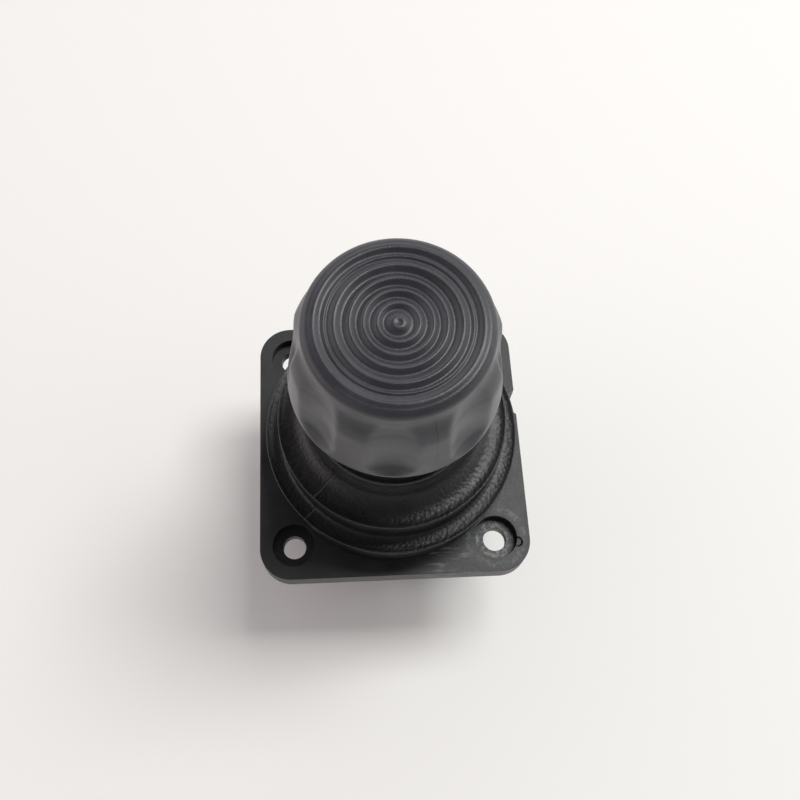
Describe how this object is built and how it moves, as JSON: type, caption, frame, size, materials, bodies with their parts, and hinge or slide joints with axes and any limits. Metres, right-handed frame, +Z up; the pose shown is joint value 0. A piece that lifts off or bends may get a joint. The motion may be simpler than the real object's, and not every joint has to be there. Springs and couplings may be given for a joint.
{
  "type": "two-axis joystick",
  "caption": "Panel-mount two-axis gimbal joystick with a square flange, a stepped rubber boot and a fluted knob that also twists.",
  "frame": {"origin": "centre of the four mounting holes on the flange's underside, the face that seats on the panel", "axes": "+Z up the stick at rest, +X towards the flange edge with the notch, front is -Y"},
  "size_m": [0.0446, 0.0446, 0.0786],
  "materials": {
    "housing_nylon": "matte",
    "boot_rubber": "satin",
    "knob_rubber": "matte",
    "core_nylon": "matte",
    "zinc_steel": "satin",
    "machined_steel": "satin",
    "spring_steel": "satin",
    "bush_brass": "satin",
    "terminal_brass": "satin",
    "sensor_black": "matte",
    "sensor_grey": "satin",
    "sensor_white": "matte"
  },
  "bodies": {
    "base": {"top_housing": "housing_nylon", "boot_retaining_ring": "zinc_steel", "boot_ring_screws": "zinc_steel", "rubber_boot": "boot_rubber", "bottom_cover": "housing_nylon", "cover_screws": "zinc_steel", "x_bushes": "bush_brass", "y_bushes": "bush_brass", "pot_x_plate": "sensor_black", "pot_x_can": "sensor_grey", "pot_x_element": "sensor_white", "pot_x_terminals": "terminal_brass", "pot_y_plate": "sensor_black", "pot_y_can": "sensor_grey", "pot_y_element": "sensor_white", "pot_y_terminals": "terminal_brass", "pot_screws": "zinc_steel", "x_return_spring": "spring_steel", "y_return_spring": "spring_steel"},
    "x_gimbal": {"gimbal_ring": "machined_steel", "x_shaft_pot": "machined_steel", "x_shaft_spring": "machined_steel", "x_spring_arm": "machined_steel", "x_arm_screw": "zinc_steel", "pot_x_rotor": "sensor_white"},
    "y_bail": {"y_bail": "machined_steel", "y_shaft_pot": "machined_steel", "y_shaft_spring": "machined_steel", "y_spring_arm": "machined_steel", "y_arm_screw": "zinc_steel", "pot_y_rotor": "sensor_white"},
    "lever": {"lever_hub": "machined_steel", "lever_tube": "machined_steel", "cross_pin": "machined_steel", "knob_carrier": "bush_brass", "carrier_set_screw": "zinc_steel", "twist_pot": "sensor_grey", "twist_return_spring": "spring_steel"},
    "knob": {"knob_core": "core_nylon", "knob_base_plate": "core_nylon", "knob_plate_screws": "zinc_steel", "knob_grip": "knob_rubber", "knob_screw": "zinc_steel", "twist_pot_shaft": "machined_steel"}
  },
  "joints": [
    {"name": "x_tilt", "type": "hinge", "parent": "base", "child": "x_gimbal", "pos_m": [0, 0, -0.011], "axis": [1, 0, 0], "range_deg": [-20, 20], "stiffness_Nm_per_rad": 0.3, "deforming": ["x_return_spring", "rubber_boot"]},
    {"name": "y_tilt", "type": "hinge", "parent": "x_gimbal", "child": "lever", "pos_m": [0, 0, -0.011], "axis": [0, 1, 0], "range_deg": [-20, 20], "stiffness_Nm_per_rad": 0.3, "deforming": ["rubber_boot"]},
    {"name": "bail_tilt", "type": "hinge", "parent": "base", "child": "y_bail", "pos_m": [0, 0, -0.011], "axis": [0, 1, 0], "range_deg": [-20, 20], "deforming": ["y_return_spring"]},
    {"name": "knob_twist", "type": "hinge", "parent": "lever", "child": "knob", "pos_m": [0, 0, 0.04], "axis": [0, 0, 1], "range_deg": [-30, 30], "stiffness_Nm_per_rad": 0.03, "deforming": ["twist_return_spring"]}
  ],
  "couplings": [
    {"joint": "bail_tilt", "follows": "y_tilt", "ratio": 1}
  ]
}
